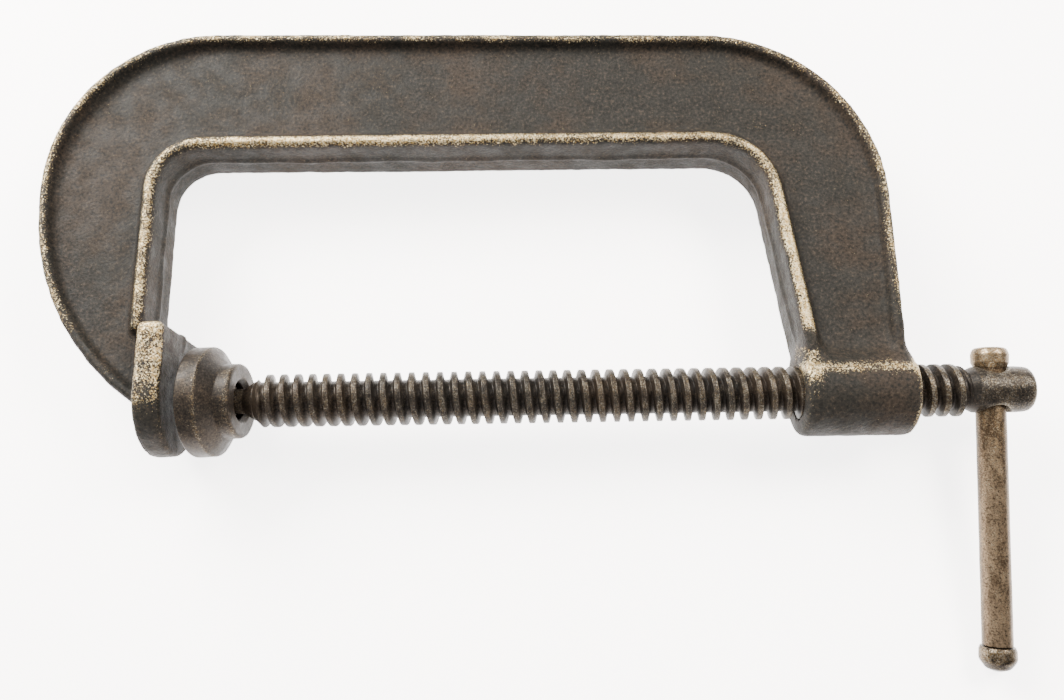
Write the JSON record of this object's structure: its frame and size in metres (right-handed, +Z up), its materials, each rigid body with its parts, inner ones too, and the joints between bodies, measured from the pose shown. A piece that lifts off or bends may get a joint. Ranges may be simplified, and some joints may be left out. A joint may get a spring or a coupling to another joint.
{
  "type": "c clamp",
  "caption": "Drop-forged C clamp with an I-section frame, trapezoid-thread screw, swivel pad and sliding T-bar handle.",
  "frame": {"origin": "centre of the anvil's gripping face, on the screw's axis and midway between the frame's two sides", "axes": "+X along the screw from the anvil to the screw's head, +Y from the screw to the back of the frame, +Z up out of the frame's side as the clamp lies on a table"},
  "size_m": [0.359, 0.2401, 0.0418],
  "materials": {
    "forged_frame": "satin",
    "screw_steel": "satin",
    "pad_steel": "satin",
    "spring_wire": "satin",
    "bar_steel": "satin",
    "cap_steel": "satin"
  },
  "bodies": {
    "frame": {"frame": "forged_frame"},
    "screw_travel": {"pad_retaining_ring": "spring_wire"},
    "screw": {"screw": "screw_steel"},
    "swivel_pad": {"swivel_pad": "pad_steel"},
    "handle": {"handle_bar": "bar_steel", "handle_end_cap": "cap_steel"}
  },
  "joints": [
    {"name": "screw_feed", "type": "slide", "parent": "frame", "child": "screw_travel", "axis": [1, 0, 0], "range_m": [-0.0026, 0.1934]},
    {"name": "screw_turn", "type": "hinge", "parent": "screw_travel", "child": "screw", "pos_m": [0.1, 0, 0], "axis": [1, 0, 0], "range_deg": [-180, 13680]},
    {"name": "pad_tilt", "type": "hinge", "parent": "screw_travel", "child": "swivel_pad", "pos_m": [0.0143, 0, 0], "axis": [0, 1, 0], "range_deg": [-5, 15]},
    {"name": "handle_slide", "type": "slide", "parent": "screw", "child": "handle", "axis": [0.0366, 0.9873, 0.1546], "range_m": [0, 0.0805]}
  ],
  "couplings": [
    {"joint": "screw_feed", "follows": "screw_turn", "m_per_rad": 0.00080851}
  ]
}
